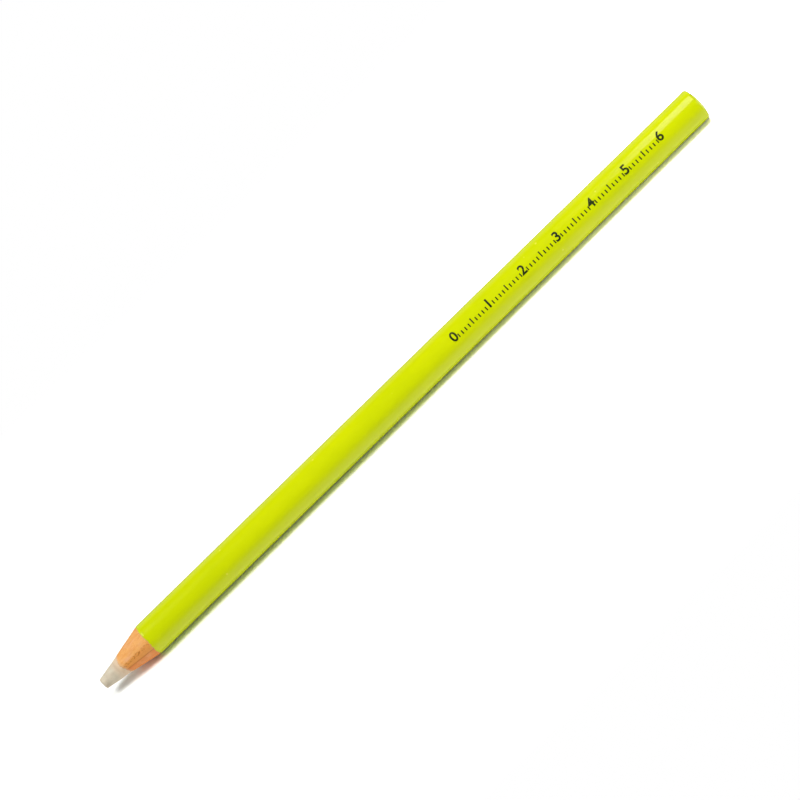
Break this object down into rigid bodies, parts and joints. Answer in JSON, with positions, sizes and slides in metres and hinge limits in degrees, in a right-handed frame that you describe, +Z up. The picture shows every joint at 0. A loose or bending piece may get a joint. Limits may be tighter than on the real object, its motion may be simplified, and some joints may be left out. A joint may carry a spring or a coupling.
{
  "type": "eraser pencil",
  "caption": "Round wood-cased pencil with a rubber eraser core, lime lacquer, a sharpened blunt rubber tip and a dipped rounded end.",
  "frame": {"origin": "on the surface that the pencil lies on, under the middle of its length and below its axis", "axes": "+X along the pencil from the rubber tip to the dipped end, +Z up, -Y towards the side seen in the picture"},
  "size_m": [0.175, 0.0078, 0.0078],
  "materials": {
    "cedar": "sharpened, matte",
    "eraser_rubber": "matte",
    "glue": "dried wood glue",
    "wood_sealer": "thin amber sealer",
    "lime_lacquer": "gloss lacquer",
    "clear_varnish": "clear gloss varnish, drawn in the colour under it"
  },
  "bodies": {
    "root": {"upper_slat": "cedar", "lower_slat": "cedar", "eraser_core": "eraser_rubber", "core_bond": "glue", "front_glue_seam": "glue", "rear_glue_seam": "glue", "sealer_coat": "wood_sealer", "colour_coat": "lime_lacquer", "clear_coat": "clear_varnish", "end_dip": "lime_lacquer"}
  },
  "joints": []
}
